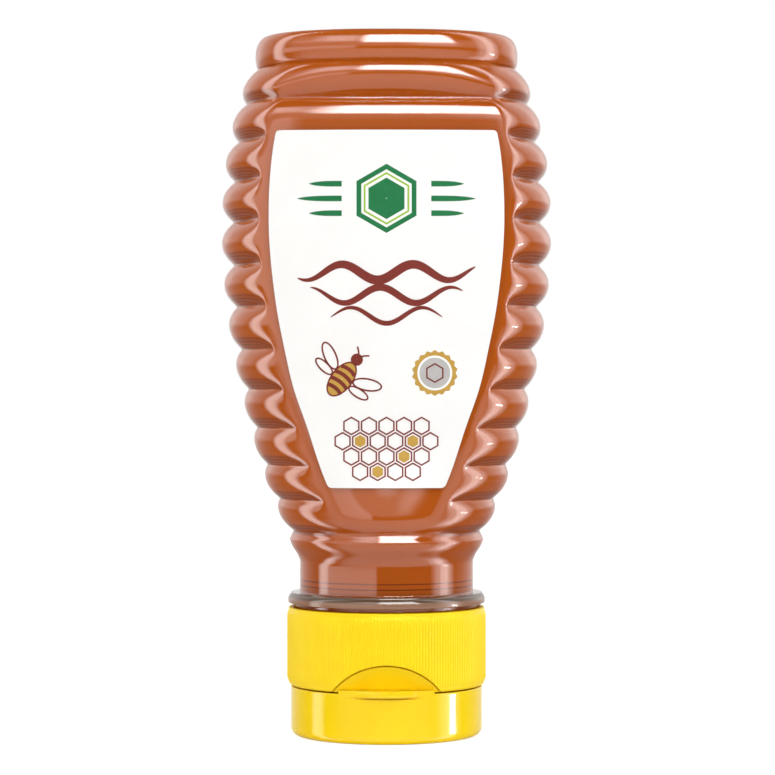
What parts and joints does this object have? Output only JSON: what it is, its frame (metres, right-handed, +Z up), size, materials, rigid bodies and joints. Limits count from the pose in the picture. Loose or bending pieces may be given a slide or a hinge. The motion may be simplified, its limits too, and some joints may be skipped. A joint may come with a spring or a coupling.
{
  "type": "honey squeeze bottle",
  "caption": "Upside-down squeeze bottle of honey: ribbed clear shell with a flat label panel, standing on a screw cap with a hinged flip lid and a slit silicone valve.",
  "frame": {"origin": "middle of the lid's flat face, on which the bottle stands, at the bottom centre of the bounding box", "axes": "+Z up from the cap to the bottle's foot, front label faces -Y, +X to the right as the front is looked at"},
  "size_m": [0.0668, 0.041, 0.1408],
  "materials": {
    "clear_bottle_plastic": "clear glossy blown plastic",
    "honey": "thick amber liquid, glossy and slightly see-through",
    "label_film": "white printed film, satin",
    "yellow_cap_plastic": "moulded yellow plastic, satin gloss",
    "silicone": "milky soft silicone",
    "retainer_plastic": "white moulded plastic"
  },
  "bodies": {
    "bottle": {"bottle_shell": "clear_bottle_plastic", "honey_fill": "honey", "front_label": "label_film"},
    "valve": {"silicone_valve": "silicone", "valve_retainer": "retainer_plastic"},
    "cap": {"cap_base": "yellow_cap_plastic"},
    "lid": {"flip_lid": "yellow_cap_plastic", "film_hinge": "yellow_cap_plastic"}
  },
  "joints": [
    {"name": "cap_travel", "type": "slide", "parent": "bottle", "child": "valve", "axis": [0, 0, -1], "range_m": [0, 0.0064]},
    {"name": "cap_unscrew", "type": "hinge", "parent": "valve", "child": "cap", "pos_m": [0, 0, 0.0102], "axis": [0, 0, -1], "range_deg": [0, 540]},
    {"name": "lid_open", "type": "hinge", "parent": "cap", "child": "lid", "pos_m": [0, 0.02003, 0.01005], "axis": [1, 0, 0], "range_deg": [0, 170], "deforming": ["film_hinge"]}
  ],
  "couplings": [
    {"joint": "cap_travel", "follows": "cap_unscrew", "m_per_rad": 0.00067323}
  ]
}
